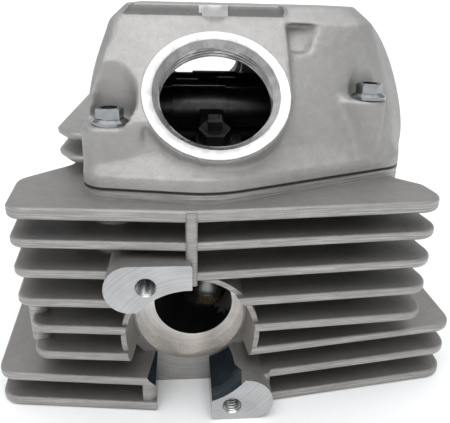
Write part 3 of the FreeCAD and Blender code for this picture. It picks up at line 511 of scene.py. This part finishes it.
def threaded_rim(side, material):
    """Faced rim of a tappet opening with its thread, let into the casting."""
    around = 160
    rows = threaded_wall(BORE_R, RIM_GROOVE, THREAD_PITCH, -BEVEL_DEPTH, 0.3 - THREAD_DEPTH, around)
    sleeve = SLEEVE_R - SLEEVE_GAP
    profile = [
        (BORE_R + SLEEVE_GAP, -THREAD_DEPTH), (sleeve, -THREAD_DEPTH), (sleeve, -1.4), (RIM_FACE_R, -0.8),
        (RIM_FACE_R, 0.05), (RIM_FACE_R - 0.2, SLEEVE_TOP), (BORE_R + BEVEL, SLEEVE_TOP),
        (BORE_R + BEVEL - 0.2, 0.1),
    ]
    for radius, z in profile:
        rows.append(plain_ring(radius, z, around))
    name = "threaded_rim_" + ("exhaust" if side < 0 else "intake")
    obj = lathe(name, round_loft(rows), around, opening_matrix(side), material)
    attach(obj, "head")


def hole_thread(name, place, outward, radius, pitch, depth, material):
    """Short threaded sleeve inside a tapped hole; place is on the hole's rim, in millimetres."""
    around = 48
    inner = radius * HOLE_THREAD_INNER
    rows = threaded_wall(inner, radius * HOLE_THREAD_GROOVE, pitch, -0.7, -depth, around)
    rows.append(plain_ring(radius, -depth - 0.2, around))
    rows.append(plain_ring(radius, -0.05, around))
    turn = Vector(outward).to_track_quat("Z", "X").to_matrix().to_4x4()
    matrix = Matrix.Translation(Vector(place) * MM) @ turn
    obj = lathe(name, round_loft(rows), around, matrix, material)
    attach(obj, "head")


def soft_springs(material):
    """The valve springs, each copied to a mesh of its own and carried on the head; the real springs shorten
    as their valve opens.
    """
    for side, sign in (("exhaust", -1), ("intake", 1)):
        for kind in ("outer_spring", "inner_spring"):
            node = side + "_" + kind
            obj = shown("soft_" + node, nodes[node].data.copy(), material)
            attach(obj, "head")
            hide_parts(node)
            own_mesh(obj)


# ---- finishing ------------------------------------------------------------------------------------
def paint(node, *materials):
    """Gives a carried-over node its materials."""
    slots = nodes[node].data.materials
    slots.clear()
    for material in materials:
        slots.append(material)


def head_surface(centre, normal):
    """Name of the finish on a face of the head, from its middle and its normal."""
    x, y, z = centre / MM
    from_port = math.hypot(x, z - PORT_Z)
    inward = -(normal.x * x + normal.z * (z - PORT_Z)) / max(from_port, 0.01)
    if y < LUG_FACE_Y + NEAR:
        return "lug_face"
    if y < RECESS_Y + NEAR and from_port < PORT_CONE_R + 0.3:
        if from_port < RECESS_R + NEAR and normal.y < -FACING:
            return "recess_floor"
        if from_port < RECESS_R + NEAR and inward > 0.5:
            return "recess_wall"
        if inward > 0.8:
            return "relief" if z < RELIEF_TOP else "port_cone"
    if abs(y - PORT_FACE_Y) < NEAR and normal.y < -FACING:
        return "port_face"
    if z < RELIEF_TOP and y < PORT_FACE_Y - NEAR and min(abs(x - edge) for edge in RELIEF_X) < NEAR:
        return "relief"
    on_chamber = abs(Vector((x, y, z + CHAMBER_DROP)).length - CHAMBER_R) < CHAMBER_NEAR and z > 0.0
    if on_chamber or z < CLOSE or z > SEAM_Z - CLOSE or y > INTAKE_FACE_Y - NEAR:
        return "faced"
    # Painted shade: the inside of the exhaust duct gets a nearly black copy of the cast finish.
    if from_port < DUCT_R and DUCT_BEND_Y > y > RECESS_Y + CLOSE:
        return "duct"
    return "cast"


def finish_head(finishes):
    """finishes maps the names from head_surface to materials."""
    order = list(finishes)
    paint("cylinder_head", *finishes.values())
    for polygon in nodes["cylinder_head"].data.polygons:
        polygon.material_index = order.index(head_surface(polygon.center, polygon.normal))


make_camera()
make_floor()
make_sky()
make_key_light()
bpy.context.scene.view_settings.view_transform = "Standard"

port_axis = (0.0, 0.0, PORT_Z * MM)
across_y = (1, 0, 1)
cover_cast = cast_aluminium("cover_cast", 0.35, 0.03, 0.30, 0.0)
# Darker copy of the cover's cast finish, as painted shade on the strip under the cap.
cover_painted_shade = cast_aluminium("cover_painted_shade", 0.16, 0.03, 0.30, 0.0)
# Lighter copy of the cover's cast finish, as painted highlight on the half-round boss above the cap strip.
cover_boss_highlight = cast_aluminium("cover_boss_highlight", 0.50, 0.02, 0.20, 0.0)
head_finishes = {
    "cast": cast_aluminium("head_cast", 0.28, 0.05, 0.34, 0.60, 0.15),
    "lug_face": machined_aluminium("lug_face", 0.43, 0.34, port_axis, across_y, 0.5),
    "recess_floor": machined_aluminium("recess_floor", 0.88, 0.33, port_axis, across_y, 0.8, 0.02),
    "recess_wall": machined_aluminium("recess_wall", 0.53, 0.24, port_axis, (0.1, 1, 0.1), 0.5, 0.08),
    "port_cone": machined_aluminium("port_cone", 0.34, 0.42, port_axis, (0.2, 1, 0.2), 0.6, 0.07),
    "port_face": machined_aluminium("port_face", 0.33, 0.40, port_axis, across_y, 0.9, 0.03),
    # Dark bluish copy of the machined finish, as painted reflection on the relief faces beside the port.
    "relief": machined_aluminium("relief", 0.085, 0.12, port_axis, (0.2, 1, 0.2), 2.0, -0.22),
    # Nearly black copy of the cast finish, as painted shade inside the exhaust duct.
    "duct": cast_aluminium("duct", 0.025, 0.0, 0.3, 0.0),
    "faced": machined_aluminium("faced", 0.45, 0.36, (0, 0, 0), (1, 1, 0), 0.6),
}
rim_metal = plain_metal("rim_metal", 0.43, 0.01, 0.33)
thread_metal = plain_metal("thread_metal", 0.5, 0.0, 0.3)
zinc = plain_metal("zinc", 0.27, -0.03, 0.12)
steel = plain_metal("steel", 0.45, 0.0, 0.3)
dark_steel = plain_metal("dark_steel", 0.08, 0.0, 0.35)
bronze = plain_metal("bronze", 0.35, 0.45, 0.4)
seal = rubber("seal")
for name in nodes:
    paint(name, steel)
finish_head(head_finishes)
paint("cover_bolts", zinc)
for name in ("cam_sprocket", "sprocket_bolts", "rocker_spacers", "camshaft"):
    paint(name, dark_steel)
for side in ("exhaust", "intake"):
    paint(side + "_valve_guide", bronze)
    paint(side + "_stem_seal", seal)
    for name in ("rocker_arm", "adjuster_screw", "adjuster_nut", "spring_retainer"):
        paint(side + "_" + name, dark_steel)

cover_casting(cover_cast, cover_painted_shade, cover_boss_highlight)
for side in (-1, 1):
    threaded_rim(side, rim_metal)
for number, (x, z) in enumerate(LUG_HOLES):
    hole_thread("lug_thread_%d" % number, (x, LUG_FACE_Y, z), (0, -1, 0), LUG_HOLE_R,
                LUG_THREAD_PITCH, LUG_THREAD_DEPTH, thread_metal)
for number, x in enumerate(INTAKE_HOLE_X):
    hole_thread("intake_thread_%d" % number, (x, INTAKE_FACE_Y, INTAKE_Z), (0, 1, 0), INTAKE_HOLE_R,
                INTAKE_THREAD_PITCH, INTAKE_THREAD_DEPTH, thread_metal)
soft_springs(steel)
